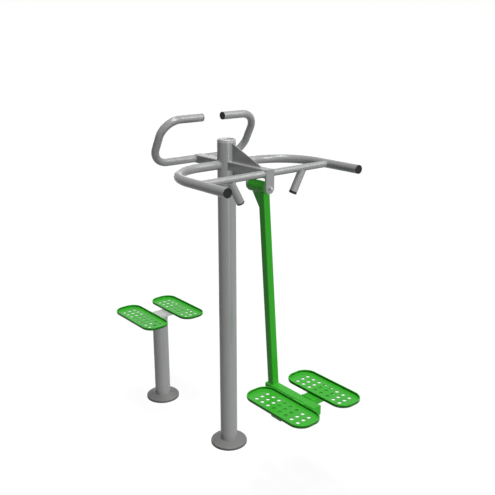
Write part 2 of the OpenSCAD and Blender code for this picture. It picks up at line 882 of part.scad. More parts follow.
module twist_plate_right() {
    color(leaf_green) translate([twist_x, twist_plate_y, twist_plate_z]) footplate();
}

main_flange();
main_post();
main_base_cover();
post_cap();
front_arm();
rear_arm();
top_gusset();
under_gusset();
ski_frame_left();
ski_frame_right();
ski_crossbar_left();
ski_crossbar_right();
stub_handle_left();
stub_handle_right();
ski_grip_caps();
stub_handle_caps();
twist_handle();
twist_handle_caps();
front_ear();
rear_ear();
pivot_axle();
axle_washers();
axle_nuts();
dust_washers();
swing_barrel();
swing_bearings();
swing_spacer();
swing_arm();
swing_web();
foot_beam();
foot_beam_ends();
foot_crossbar();
foot_crossbar_ends();
ski_plate_left();
ski_plate_right();
twist_flange();
twist_post();
twist_base_cover();
bearing_housing();
twist_bearings();
bearing_circlip();
twist_bar();
twist_spindle();
spindle_washer();
spindle_nut();
twist_plate_left();
twist_plate_right();
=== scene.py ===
"""Looks of an outdoor twist and ski trainer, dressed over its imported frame.

The frame's solids keep their shapes and take powder coat, moulded plastic, zinc and
machined steel finishes. The pieces added here are the painted weld beads that join
its tubes and plates. All sizes are in metres, in the frame's own axes, and what the
frame can tell is read from it.
"""

import logging
import math
from dataclasses import dataclass, field, replace
from enum import Enum
from functools import partial
from typing import Any, Mapping, NamedTuple, Optional, Sequence, Union

import bmesh
import bpy
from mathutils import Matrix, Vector


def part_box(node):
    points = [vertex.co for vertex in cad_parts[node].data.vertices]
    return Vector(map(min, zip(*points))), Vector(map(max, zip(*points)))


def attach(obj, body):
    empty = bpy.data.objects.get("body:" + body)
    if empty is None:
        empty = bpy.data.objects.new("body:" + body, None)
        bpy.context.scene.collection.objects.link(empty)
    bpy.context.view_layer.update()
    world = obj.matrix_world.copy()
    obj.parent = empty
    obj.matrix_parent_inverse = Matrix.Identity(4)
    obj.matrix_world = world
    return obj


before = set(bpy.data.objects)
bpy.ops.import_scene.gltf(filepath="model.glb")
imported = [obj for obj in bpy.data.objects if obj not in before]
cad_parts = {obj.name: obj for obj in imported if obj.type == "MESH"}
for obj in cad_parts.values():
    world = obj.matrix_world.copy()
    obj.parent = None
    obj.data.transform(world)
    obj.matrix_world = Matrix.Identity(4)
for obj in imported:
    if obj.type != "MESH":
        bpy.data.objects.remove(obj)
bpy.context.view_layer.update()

log = logging.getLogger("trainer")

Triple = tuple[float, float, float]
Value = Union["Wire", float, int, Sequence[float]]
Path = list[Vector]

X_AXIS = Vector((1.0, 0.0, 0.0))
Y_AXIS = Vector((0.0, 1.0, 0.0))
Z_AXIS = Vector((0.0, 0.0, 1.0))
SIDES = (-1.0, 1.0)


class Body(Enum):
    """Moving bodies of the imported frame."""

    FRAME = "frame"
    SWING = "swing"
    TWISTER = "twister"


class Slot(Enum):
    """Material slots of the record."""

    FRAME_GREY = "frame_grey"
    BASE_GREY = "base_grey"
    LEAF_GREEN = "leaf_green"
    CAP_BLACK = "cap_black"
    ZINC = "zinc"
    MACHINED = "machined"


class Bead(Enum):
    """Radii of the weld beads."""

    EDGE = 0.0011
    SEAM = 0.0012
    SMALL = 0.0020
    PLAIN = 0.0024
    ROOT = 0.0026
    CREST = 0.0032


# Digits kept of a place read from the frame, so that round sizes stay round.
SPOT_DIGITS = 6


class Spot(NamedTuple):
    """Place or size along the three axes."""

    x: float
    y: float
    z: float

    @classmethod
    def read(cls, corner: Vector) -> "Spot":
        """Place of a corner, to a thousandth of a millimetre."""
        return cls(*(round(value, SPOT_DIGITS) for value in corner))


@dataclass(frozen=True)
class Room:
    """Room that a node of the frame takes up at rest.

    Attributes:
        low: Its lowest corner.
        high: Its highest corner.
    """

    low: Spot
    high: Spot

    @property
    def middle(self) -> Spot:
        """Its middle."""
        return Spot(*((a + b) / 2.0 for a, b in zip(self.low, self.high)))

    @property
    def size(self) -> Spot:
        """Its size along each axis."""
        return Spot(*(b - a for a, b in zip(self.low, self.high)))


def room(node: str) -> Any:
    """Dataclass field that takes the room of a node."""
    return field(default_factory=lambda: Room(*(Spot.read(corner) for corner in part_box(node))))


class Wire:
    """One output of a shader node, on which sums are written as Python expressions."""

    def __init__(self, graph: "Graph", socket: bpy.types.NodeSocket) -> None:
        """Keeps an output socket and the graph that it belongs to."""
        self.graph = graph
        self.socket = socket

    def _math(self, operation: str, *values: Value) -> "Wire":
        """Adds a Math node for an operation on values, in their order."""
        return self.graph.node("ShaderNodeMath", {"operation": operation}, dict(enumerate(values)))

    def __add__(self, other: Value) -> "Wire":
        """Sum of this wire and another value."""
        return self._math("ADD", self, other)

    def __radd__(self, other: Value) -> "Wire":
        """Sum of another value and this wire."""
        return self._math("ADD", other, self)

    def __sub__(self, other: Value) -> "Wire":
        """This wire less another value."""
        return self._math("SUBTRACT", self, other)

    def __rsub__(self, other: Value) -> "Wire":
        """Another value less this wire."""
        return self._math("SUBTRACT", other, self)

    def __mul__(self, other: Value) -> "Wire":
        """Product of this wire and another value."""
        return self._math("MULTIPLY", self, other)

    def __rmul__(self, other: Value) -> "Wire":
        """Product of another value and this wire."""
        return self._math("MULTIPLY", other, self)

    def __abs__(self) -> "Wire":
        """Size of this wire's value without its sign."""
        return self._math("ABSOLUTE", self)

    def larger(self, other: Value) -> "Wire":
        """The larger of this wire and another value."""
        return self._math("MAXIMUM", self, other)

    def ramp(self, low: float, high: float) -> "Wire":
        """Smooth step from 0 at low to 1 at high, which may be the smaller value."""
        values = {"Value": self, "From Min": low, "From Max": high, "To Min": 0.0, "To Max": 1.0}
        return self.graph.node("ShaderNodeMapRange", {"interpolation_type": "SMOOTHSTEP"}, values)


class Graph:
    """A node tree that is built up call by call."""

    def __init__(self, tree: bpy.types.NodeTree) -> None:
        """Keeps and empties the node tree of a material or of the world."""
        self.tree = tree
        tree.nodes.clear()

    def node(
        self,
        kind: str,
        settings: Mapping[str, Any],
        values: Mapping[Union[str, int], Value],
        output: Union[str, int] = 0,
    ) -> Wire:
        """Adds one node and takes one of its outputs.

        Args:
            kind: The node's type.
            settings: Its own settings, which are set first.
            values: The value or the wire of each input that is used.
            output: The output that is taken.

        Returns:
            The wire that leaves the chosen output.
        """
        made = self.tree.nodes.new(kind)
        for name, value in settings.items():
            setattr(made, name, value)
        for key, value in values.items():
            if isinstance(value, Wire):
                self.tree.links.new(value.socket, made.inputs[key])
            else:
                made.inputs[key].default_value = value
        return Wire(self, made.outputs[output])

    def end(self, kind: str, shader: Wire) -> None:
        """Adds an output node of a type, which shows a shader."""
        self.tree.links.new(shader.socket, self.tree.nodes.new(kind).inputs["Surface"])

    def place(self) -> Wire:
        """Object coordinates, which for every piece here are the frame's own metres."""
        return self.node("ShaderNodeTexCoord", {}, {}, "Object")

    def facing(self) -> Wire:
        """The surface normal in the object's own axes."""
        return self.node("ShaderNodeTexCoord", {}, {}, "Normal")

    def part(self, vector: Wire, axis: str) -> Wire:
        """The X, Y or Z component of a vector."""
        return self.node("ShaderNodeSeparateXYZ", {}, {"Vector": vector}, axis)

    def noise(self, place: Wire, size: float, detail: float = 2.0) -> Wire:
        """Soft noise of about -0.5 to 0.5, with the size of its lumps and its number of finer layers."""
        values = {"Vector": place, "Scale": 1.0 / size, "Detail": detail, "Roughness": 0.55}
        return self.node("ShaderNodeTexNoise", {}, values) - 0.5

    def tint(self, colour: Value, tone: Wire) -> Wire:
        """A colour times a tone."""
        return self.node("ShaderNodeVectorMath", {"operation": "SCALE"}, {0: colour, "Scale": tone})

    def blend(self, share: Wire, first: Value, second: Value) -> Wire:
        """Mix of two colours with a share of the second."""
        return self.node("ShaderNodeMix", {"data_type": "RGBA"}, {0: share, 6: first, 7: second}, 2)

    def mix(self, share: Value, first: Wire, second: Wire) -> Wire:
        """Mix of two shaders with a share of the second."""
        return self.node("ShaderNodeMixShader", {}, {0: share, 1: first, 2: second})

    def bump(self, height: Wire, depth: float) -> Wire:
        """Normal of a relief, with the depth that a height of 1 stands for."""
        return self.node("ShaderNodeBump", {}, {"Height": height, "Distance": depth, "Strength": 1.0})


def grey(level: float) -> tuple[float, float, float, float]:
    """A grey of a level, for a colour socket."""
    return (level, level, level, 1.0)


def new_material(name: str) -> tuple[bpy.types.Material, Graph]:
    """Starts a material with an empty graph.

    Args:
        name: The material's name.

    Returns:
        The material and its graph.
    """
    material = bpy.data.materials.new(name)
    material.use_nodes = True
    return material, Graph(material.node_tree)


@dataclass(frozen=True)
class HandledZone:
    """Part of a painted tube that hands keep polished, the same on the left and right.

    Attributes:
        centre: Its middle, with y counted from the middle plane.
        reach: Half of its length along each axis.
        fade: Distance over which it fades out.
    """

    centre: Triple
    reach: Triple
    fade: float = 0.05

    def mask(self, g: Graph, place: Wire) -> Wire:
        """Share of polish.

        Args:
            g: The graph to build in.
            place: Where it is read.

        Returns:
            A wire from 0 outside to 1 inside.
        """
        share: Optional[Wire] = None
        for axis, middle, half in zip("XYZ", self.centre, self.reach):
            along = g.part(place, axis)
            off = abs(abs(along) - middle) if axis == "Y" else abs(along - middle)
            inside = off.ramp(half + self.fade, half)
            share = inside if share is None else share * inside
        return share


@dataclass(frozen=True)
class Finish:
    """Look of one material.

    Attributes:
        name: The material's name.
        colour: Its colour, linear.
        slot: The record's slot that it dresses.
    """

    name: str
    colour: Triple
    slot: Slot

    def inputs(self, g: Graph, place: Wire) -> dict[str, Value]:
        """What the material's shader takes.

        Args:
            g: The graph to build in.
            place: Object coordinates.

        Returns:
            The value or the wire of each input that is used.
        """
        raise NotImplementedError

    def build(self) -> bpy.types.Material:
        """Makes the material.

        Returns:
            The finished material.
        """
        material, g = new_material(self.name)
        shader = g.node("ShaderNodeBsdfPrincipled", {}, self.inputs(g, g.place()))
        g.end("ShaderNodeOutputMaterial", shader)
        return material


DUST_COLOUR = (0.52, 0.50, 0.46, 1.0)
DUST_LUMP = 0.05
DUST_DULLING = 0.8
SPLASH_COLOUR = (0.16, 0.14, 0.12, 1.0)
SPLASH_LUMP = 0.008
SPLASH_WAVE = 0.06
SPLASH_SHARE = 0.22
SPLASH_DULLING = 0.4
DRIFT_LUMP = 0.22
DRIFT_CHANGE = 0.05
FLECK_LUMP = 0.0006
FLECK_CHANGE = 0.05
PEEL_LUMP = 0.0018
PEEL_DEPTH = 0.000005
GLOSS_WEIGHT = 0.04
GLOSS_ROUGHNESS = 0.12
FILM_LUMP = 0.03
FILM_CHANGE = 0.02
SCUFF_LUMP = 0.012
SCUFF_RAMP = (0.04, 0.2)
SCUFF_DULLING = 0.1
LEVEL_RAMP = (0.6, 1.0)
UPRIGHT_RAMP = (0.85, 0.35)
POLISH = 0.02
PEEL_WEAR = 0.6


@dataclass(frozen=True)
class PowderCoat(Finish):
    """Baked powder paint: fine orange peel, faint flecks, slow drift of tone, a little dust and, where set,
    painted shade on upright faces.

    Attributes:
        roughness: Roughness of the paint film.
        metal: Share of metal flakes in it.
        sheen: Level of its mirror reflection, 0.5 for plain varnish.
        dust: Share of dust on faces that look up.
        scuff: Strength of shoe scuffs on faces that look up.
        upright_shade: Share of tone taken off upright faces as painted shade.
        splash_top: Height that splashed soil reaches, or 0.
        handled: The zone that hands polish, if any.
    """

    roughness: float = 0.24
    metal: float = 0.15
    sheen: float = 0.08
    dust: float = 0.05
    scuff: float = 0.0
    upright_shade: float = 0.0
    splash_top: float = 0.0
    handled: Optional[HandledZone] = None

    def inputs(self, g: Graph, place: Wire) -> dict[str, Value]:
        """What the paint's shader takes.

        Args:
            g: The graph to build in.
            place: Object coordinates.

        Returns:
            The value or the wire of each input that is used.
        """
        rise = g.part(g.facing(), "Z")
        up = rise.ramp(*LEVEL_RAMP)
        tone = 1.0 + g.noise(place, DRIFT_LUMP) * DRIFT_CHANGE + g.noise(place, FLECK_LUMP, 1.0) * FLECK_CHANGE
        settled = up * (g.noise(place, DUST_LUMP, 4.0) + 0.5) * self.dust
        rough = self.roughness + g.noise(place, FILM_LUMP, 3.0) * FILM_CHANGE + settled * DUST_DULLING
        peel = g.noise(place, PEEL_LUMP)
        if self.scuff:
            rub = g.noise(place, SCUFF_LUMP, 5.0).ramp(*SCUFF_RAMP) * up
            tone = tone + rub * self.scuff
            rough = rough + rub * SCUFF_DULLING
        # Painted shade: upright faces are darkened as if they stood in shade.
        if self.upright_shade:
            tone = tone * (1.0 - abs(rise).ramp(*UPRIGHT_RAMP) * self.upright_shade)
        if self.handled:
            worn = self.handled.mask(g, place)
            rough = rough - worn * POLISH
            peel = peel * (1.0 - worn * PEEL_WEAR)
        colour = g.blend(settled, g.tint(self.colour, tone), DUST_COLOUR)
        if self.splash_top:
            height = g.part(place, "Z") + g.noise(place, SPLASH_WAVE, 4.0) * self.splash_top
            near = height.ramp(self.splash_top, 0.0)
            soil = near * (g.noise(place, SPLASH_LUMP, 4.0) + 0.5) * SPLASH_SHARE
            colour = g.blend(soil, colour, SPLASH_COLOUR)
            rough = rough + soil * SPLASH_DULLING
        return {
            "Base Color": colour,
            "Roughness": rough,
            "Metallic": self.metal,
            "Specular IOR Level": self.sheen,
            "Coat Weight": GLOSS_WEIGHT,
            "Coat Roughness": GLOSS_ROUGHNESS,
            "Normal": g.bump(peel, PEEL_DEPTH),
        }


GRAIN_LUMP = 0.0009
GRAIN_DEPTH = 0.00003
GRAIN_TONE = 0.3
GRAIN_DULLING = 0.1
RUB_LUMP = 0.006
RUB_RAMP = (0.05, 0.25)
RUB_TONE = 0.5
RUB_POLISH = 0.06


@dataclass(frozen=True)
class MouldedPlastic(Finish):
    """Moulded black plastic with a fine grain and a little rubbing in spots.

    Attributes:
        roughness: Mean roughness.
        sheen: Level of its mirror reflection.
    """

    roughness: float = 0.5
    sheen: float = 0.15

    def inputs(self, g: Graph, place: Wire) -> dict[str, Value]:
        """What the plastic's shader takes.

        Args:
            g: The graph to build in.
            place: Object coordinates.

        Returns:
            The value or the wire of each input that is used.
        """
        grain = g.noise(place, GRAIN_LUMP, 3.0)
        rub = g.noise(place, RUB_LUMP, 4.0).ramp(*RUB_RAMP)
        return {
            "Base Color": g.tint(self.colour, 1.0 + grain * GRAIN_TONE + rub * RUB_TONE),
            "Roughness": self.roughness + grain * GRAIN_DULLING - rub * RUB_POLISH,
            "Specular IOR Level": self.sheen,
            "Normal": g.bump(grain, GRAIN_DEPTH),
        }


CLOUD_LUMP = 0.01
CLOUD_CHANGE = 0.12
SMEAR_LUMP = 0.004
SMEAR_CHANGE = 0.14
RELIEF_LUMP = 0.0005
RELIEF_DEPTH = 0.000004
SPANGLE_TONE = 0.1
SPANGLE_DULLING = 0.08
MARKS_HEIGHT = 2.0
# Width of one band of the wave texture at scale 1.
WAVE_BAND = 0.31


@dataclass(frozen=True)
class BareSteel(Finish):
    """Bright metal: zinc plate with faint spangle, or turned steel with tool marks.

    Attributes:
        roughness: Mean roughness.
        spangle: Size of the crystal patches, or 0 for turned steel.
        marks: Pitch of the tool marks, or 0 for plate.
    """

    roughness: float = 0.3
    spangle: float = 0.0
    marks: float = 0.0

    def inputs(self, g: Graph, place: Wire) -> dict[str, Value]:
        """What the metal's shader takes.

        Args:
            g: The graph to build in.
            place: Object coordinates.

        Returns:
            The value or the wire of each input that is used.
        """
        tone = 1.0 + g.noise(place, CLOUD_LUMP, 3.0) * CLOUD_CHANGE
        rough = self.roughness + g.noise(place, SMEAR_LUMP, 4.0) * SMEAR_CHANGE
        relief = g.noise(place, RELIEF_LUMP)
        if self.spangle:
            values = {"Vector": place, "Scale": 1.0 / self.spangle}
            patch = g.node("ShaderNodeTexVoronoi", {}, values, "Distance")
            tone = tone + patch * SPANGLE_TONE
            rough = rough + patch * SPANGLE_DULLING
        if self.marks:
            values = {"Vector": place, "Scale": WAVE_BAND / self.marks, "Distortion": 0.4, "Detail": 1.0}
            wave = g.node("ShaderNodeTexWave", {"bands_direction": "X"}, values, "Fac")
            relief = relief + wave * MARKS_HEIGHT
        return {
            "Base Color": g.tint(self.colour, tone),
            "Metallic": 1.0,
            "Roughness": rough,
            "Normal": g.bump(relief, RELIEF_DEPTH),
        }


FRAME_COLOUR = (0.335, 0.337, 0.339)
BAR_COLOUR = (0.50, 0.51, 0.49)
# Lighter copy of the frame grey, which paints a highlight on the post cap.
POST_CAP_HIGHLIGHT_COLOUR = (0.48, 0.483, 0.485)
BASE_COLOUR = (0.19, 0.192, 0.194)
LEAF_COLOUR = (0.030, 0.42, 0.016)
# Darker copy of the leaf green, which paints shade on the swing arm, its barrel and its web.
ARM_SHADED_COLOUR = (0.028, 0.36, 0.015)
CAP_COLOUR = (0.015, 0.015, 0.0155)
ZINC_COLOUR = (0.34, 0.345, 0.35)
STEEL_COLOUR = (0.40, 0.41, 0.43)

SKI_GRIPS = HandledZone((0.42, 0.386, 1.519), (0.05, 0.04, 0.04))
TWIST_GRIPS = HandledZone((-0.109, 0.13, 1.736), (0.05, 0.06, 0.05))

FRAME_PAINT = PowderCoat("frame_powder_coat", FRAME_COLOUR, Slot.FRAME_GREY, splash_top=0.16)
SKI_GRIP_PAINT = PowderCoat("ski_grip_powder_coat", FRAME_COLOUR, Slot.FRAME_GREY, handled=SKI_GRIPS)
TWIST_GRIP_PAINT = PowderCoat("twist_grip_powder_coat", FRAME_COLOUR, Slot.FRAME_GREY, handled=TWIST_GRIPS)
BAR_PAINT = PowderCoat("bar_powder_coat", BAR_COLOUR, Slot.FRAME_GREY)
POST_CAP_HIGHLIGHT_PAINT = PowderCoat("post_cap_highlight_powder_coat", POST_CAP_HIGHLIGHT_COLOUR, Slot.FRAME_GREY)
# The cover's upright walls are darkened with painted shade.
BASE_PAINT = PowderCoat(
    "base_powder_coat", BASE_COLOUR, Slot.BASE_GREY, roughness=0.42, dust=0.12, upright_shade=0.45, splash_top=0.05
)
LEAF_PAINT = PowderCoat("leaf_powder_coat", LEAF_COLOUR, Slot.LEAF_GREEN, sheen=0.12, metal=0.06)
ARM_SHADED_PAINT = replace(LEAF_PAINT, name="arm_shaded_powder_coat", colour=ARM_SHADED_COLOUR)
# The footplates' upright rims are darkened with painted shade.
DECK_PAINT = replace(LEAF_PAINT, name="deck_powder_coat", scuff=0.05, upright_shade=0.62)
CAP_PLASTIC = MouldedPlastic("cap_moulded_plastic", CAP_COLOUR, Slot.CAP_BLACK)
ZINC_PLATE = BareSteel("zinc_plate", ZINC_COLOUR, Slot.ZINC, roughness=0.5, spangle=0.003)
TURNED_STEEL = BareSteel("turned_steel", STEEL_COLOUR, Slot.MACHINED, marks=0.0008)


class PaintShop:
    """Builds each finish once and puts it on the frame's nodes."""

    def __init__(self) -> None:
        """Starts with no finish built."""
        self._made: dict[str, bpy.types.Material] = {}

    def material(self, finish: Finish) -> bpy.types.Material:
        """The material of a finish, built on its first use.

        Args:
            finish: The finish.

        Returns:
            Its material.
        """
        if finish.name not in self._made:
            self._made[finish.name] = finish.build()
        return self._made[finish.name]

    def dress(self, finish: Finish, *nodes: str) -> None:
        """Puts a finish on nodes of the frame.

        Args:
            finish: The finish.
            nodes: The nodes' names.
        """
        for name in nodes:
            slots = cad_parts[name].data.materials
            slots.clear()
            slots.append(self.material(finish))
            log.info("%s: %s", name, finish.name)


def deselect_all() -> None:
    """Leaves nothing selected, so that the next operator acts on its own piece only."""
    bpy.ops.object.select_all(action="DESELECT")


def pick(piece: bpy.types.Object) -> None:
    """Makes one object the only selected and the active one.

    Args:
        piece: The object.
    """
    deselect_all()
    piece.select_set(True)
    bpy.context.view_layer.objects.active = piece


def bare_mesh(piece: bpy.types.Object) -> bmesh.types.BMesh:
    """The mesh of a piece in edit mode, with nothing selected.

    Args:
        piece: The piece in edit mode.

    Returns:
        Its mesh.
    """
    mesh = bmesh.from_edit_mesh(piece.data)
    for item in (*mesh.verts, *mesh.edges, *mesh.faces):
        item.select = False
    return mesh


def select_points(piece: bpy.types.Object, low: float, high: float) -> None:
    """Selects, in edit mode, the points whose x lies between two values.

    Args:
        piece: The piece in edit mode.
        low: The lowest x.
        high: The highest x.
    """
    mesh = bare_mesh(piece)
    for point in mesh.verts:
        point.select = low <= point.co.x <= high
    mesh.select_flush(True)
    bmesh.update_edit_mesh(piece.data)


@dataclass
class Tube:
    """A round tube's outer surface.

    Attributes:
        point: A point on its axis.
        axis: The direction of its axis.
        radius: Its outer radius.
    """

    point: Vector
    axis: Vector
    radius: float

    def meet(self, outline: Path, along: Vector) -> list[Path]:
        """Where lines through the points of a closed outline leave this tube.

        Args:
            outline: The outline's points.
            along: The direction of the lines.

        Returns:
            One closed run with a point for each line, or open runs where some lines miss the tube.
        """
        hits: list[Optional[Vector]] = []
        for start in outline:
            off = start - self.point
            off = off - self.axis * off.dot(self.axis)
            step = along - self.axis * along.dot(self.axis)
            # The line meets the surface where a * t**2 + b * t + c is 0.
            a, b, c = step.dot(step), 2.0 * off.dot(step), off.dot(off) - self.radius**2
            inside = b * b - 4.0 * a * c
            hits.append(start + along * ((-b + math.sqrt(inside)) / (2.0 * a)) if inside > 0.0 else None)
        if None not in hits:
            return [hits]
        first = hits.index(None)
        runs: list[Path] = [[]]
        for hit in hits[first:] + hits[:first]:
            if hit is None:
                runs.append([])
            else:
                runs[-1].append(hit)
        return [run for run in runs if len(run) > 2]


def circle(centre: Vector, axis: Vector, radius: float, count: int = 64) -> Path:
    """Points of a circle.

    Args:
        centre: Its centre.
        axis: Its axis.
        radius: Its radius.
        count: Number of points.

    Returns:
        The points.
    """
    first = axis.orthogonal().normalized()
    second = axis.cross(first)
    turns = [2.0 * math.pi * i / count for i in range(count)]
    return [centre + radius * (math.cos(t) * first + math.sin(t) * second) for t in turns]


STITCH_LENGTH = 0.026
# Steps of a round corner, and the length of a step along a straight side.
CORNER_STEPS = 5
SIDE_STEP = 0.003


def round_frame(
    centre: Vector, first: Vector, second: Vector, sizes: tuple[float, float], radius: float
) -> Path:
    """Points of a rectangle with round corners.

    Args:
        centre: Its centre.
        first: The direction of its first side.
        second: The direction of its second side.
        sizes: Its full sizes along the two directions.
        radius: Its corner radius.

    Returns:
        The points, with a few along each straight side.
    """
    half_a, half_b = sizes[0] / 2.0 - radius, sizes[1] / 2.0 - radius
    corners: Path = []
    for quarter, (sa, sb) in enumerate(((1, 1), (-1, 1), (-1, -1), (1, -1))):
        for i in range(CORNER_STEPS + 1):
            turn = math.pi / 2.0 * (quarter + i / CORNER_STEPS)
            a = sa * half_a + radius * math.cos(turn)
            b = sb * half_b + radius * math.sin(turn)
            corners.append(centre + first * a + second * b)
    points: Path = []
    for here, after in zip(corners, corners[1:] + corners[:1]):
        cuts = max(1, int((after - here).length / SIDE_STEP))
        points += [here.lerp(after, i / cuts) for i in range(cuts)]
    return points


def stitches(xs: Sequence[float], ys: Sequence[float], z: float) -> list[Path]:
    """Short runs outwards on both sides, at places along x, from distances off the middle plane."""
    ends = [(y, y + STITCH_LENGTH) for y in ys]
    return [[Vector((x, side * y, z)) for y in pair] for side in SIDES for x in xs for pair in ends]


# Distances at which two ripples, and the two ends of a ring, become one, in ripple lengths.
ROW_MERGE = 0.05
RING_MERGE = 0.3


@dataclass
class WeldShop:
    """Lays painted weld beads: one ripple is modelled, then repeated and bent along each joint.

    Attributes:
        paints: The finishes.
        pitch: Distance between two ripples.
        sides: Number of sides round a bead.
        dip: How far a bead narrows between two ripples.
        dome: Steps that round an open bead's end: their reach in radii and their narrowing.
        ripple: The ripple, once it is modelled.
    """

    paints: PaintShop
    pitch: float = 0.0024
    sides: int = 10
    dip: float = 0.86
    dome: Sequence[tuple[float, float]] = ((0.35, 0.72), (0.2, 0.45))
    ripple: Optional[bpy.types.Object] = field(default=None, init=False)

    def _model_ripple(self) -> bpy.types.Object:
        """Models one ripple as a short open barrel of radius 1 and length 1 along x.

        Returns:
            The ripple.
        """
        deselect_all()
        bpy.ops.mesh.primitive_cylinder_add(
            vertices=self.sides,
            radius=1.0,
            depth=1.0,
            end_fill_type="NOTHING",
            location=(0.5, 0.0, 0.0),
            rotation=(0.0, math.pi / 2.0, 0.0),
        )
        ripple = bpy.context.object
        ripple.name = "weld_ripple"
        bpy.ops.object.transform_apply(location=True, rotation=True, scale=True)
        bpy.ops.object.mode_set(mode="EDIT")
        for edge in bare_mesh(ripple).edges:
            if abs(edge.verts[0].co.x - edge.verts[1].co.x) > 0.5:
                edge.select = True
        bmesh.update_edit_mesh(ripple.data)
        bpy.ops.mesh.subdivide(number_cuts=1)
        for end in (0.0, 1.0):
            select_points(ripple, end - 0.1, end + 0.1)
            bpy.ops.transform.resize(value=(1.0, self.dip, self.dip), center_override=(0.5, 0.0, 0.0))
        bpy.ops.object.mode_set(mode="OBJECT")
        return ripple

    def _bead(self, path: Path, closed: bool, radius: float) -> bpy.types.Object:
        """Lays one bead along a path.

        Args:
            path: Points of its middle line.
            closed: Whether it runs back to its start.
            radius: Its radius.

        Returns:
            The bead.
        """
        if self.ripple is None:
            self.ripple = self._model_ripple()
        ends = path[1:] + path[:1] if closed else path[1:]
        length = sum((after - here).length for here, after in zip(path, ends))
        count = max(2, round(length / self.pitch))
        step = length / count

        bead = self.ripple.copy()
        bead.data = self.ripple.data.copy()
        bpy.context.scene.collection.objects.link(bead)
        pick(bead)
        bpy.ops.transform.resize(value=(step, radius, radius), center_override=(0.0, 0.0, 0.0))
        bpy.ops.object.transform_apply(location=True, rotation=True, scale=True)
        row = bead.modifiers.new("row", "ARRAY")
        row.count = count
        row.use_relative_offset = False
        row.use_constant_offset = True
        row.constant_offset_displace = (step, 0.0, 0.0)
        row.use_merge_vertices = True
        row.merge_threshold = step * ROW_MERGE
        bpy.ops.object.modifier_apply(modifier=row.name)
        if not closed:
            self._round_ends(bead, length, radius)

        guide = self._guide(path, closed)
        bend = bead.modifiers.new("bend", "CURVE")
        bend.object = guide
        bend.deform_axis = "POS_X"
        bpy.context.view_layer.update()
        pick(bead)
        bpy.ops.object.modifier_apply(modifier=bend.name)
        bpy.data.objects.remove(guide)

        bpy.ops.object.mode_set(mode="EDIT")
        bpy.ops.mesh.select_all(action="SELECT")
        if closed:
            bpy.ops.mesh.remove_doubles(threshold=step * RING_MERGE)
        bpy.ops.mesh.normals_make_consistent(inside=False)
        bpy.ops.object.mode_set(mode="OBJECT")
        return bead

    def _round_ends(self, bead: bpy.types.Object, length: float, radius: float) -> None:
        """Closes a straight bead's two ends with a small dome.

        Args:
            bead: The straight bead along x.
            length: Its length.
            radius: Its radius.
        """
        near = radius * 0.1
        bpy.ops.object.mode_set(mode="EDIT")
        for end, way in ((0.0, -1.0), (length, 1.0)):
            select_points(bead, end - near, end + near)
            for reach, narrow in self.dome:
                move = {"value": (way * reach * radius, 0.0, 0.0)}
                bpy.ops.mesh.extrude_region_move(TRANSFORM_OT_translate=move)
                bpy.ops.transform.resize(value=(1.0, narrow, narrow), center_override=(0.0, 0.0, 0.0))
            bpy.ops.mesh.edge_face_add()
        bpy.ops.object.mode_set(mode="OBJECT")

    def _guide(self, path: Path, closed: bool) -> bpy.types.Object:
        """Makes the line that a bead is bent along.

        Args:
            path: Its points.
            closed: Whether it is closed.

        Returns:
            The guide, which is removed once the bead is bent.
        """
        line = bpy.data.curves.new("weld_guide", "CURVE")
        line.dimensions = "3D"
        spline = line.splines.new("POLY")
        spline.points.add(len(path) - 1)
        for point, place in zip(spline.points, path):
            point.co = (*place, 1.0)
        spline.use_cyclic_u = closed
        guide = bpy.data.objects.new("weld_guide", line)
        bpy.context.scene.collection.objects.link(guide)
        return guide

    def lay(
        self,
        name: str,
        rings: Sequence[Path] = (),
        runs: Sequence[Path] = (),
        bead: Bead = Bead.PLAIN,
        body: Body = Body.FRAME,
        paint: PowderCoat = FRAME_PAINT,
    ) -> None:
        """Lays all beads of one joint and joins them into one piece.

        Args:
            name: The piece's name.
            rings: Paths of the beads that close on themselves.
            runs: Paths of the open beads.
            bead: How thick the beads are.
            body: The body that it rides on.
            paint: The paint over it.
        """
        beads = [self._bead(path, True, bead.value) for path in rings]
        beads += [self._bead(path, False, bead.value) for path in runs]
        pick(beads[0])
        for other in beads[1:]:
            other.select_set(True)
        if len(beads) > 1:
            bpy.ops.object.join()
        piece = bpy.context.view_layer.objects.active
        piece.name = name
        bpy.ops.object.shade_smooth()
        piece.data.materials.clear()
        piece.data.materials.append(self.paints.material(paint))
        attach(piece, body.value)
        log.info("%s: %d beads, %d faces", name, len(beads), len(piece.data.polygons))

    def close(self) -> None:
        """Removes the ripple that the beads were copied from."""
        if self.ripple is not None:
            bpy.data.objects.remove(self.ripple)
            self.ripple = None


@dataclass
class Assembly:
    """Sub-assembly of the frame that is painted, and welded where it has joints.

    Each of its Room fields holds the room of the node that is named there.

    Attributes:
        paints: Puts finishes on the frame's nodes.
        welds: Lays the weld beads.
    """

    paints: PaintShop
    welds: WeldShop

    def dress(self) -> None:
        """Puts finishes on the frame's nodes."""
        raise NotImplementedError

    def weld(self) -> None:
        """Lays the weld beads, if there are any."""


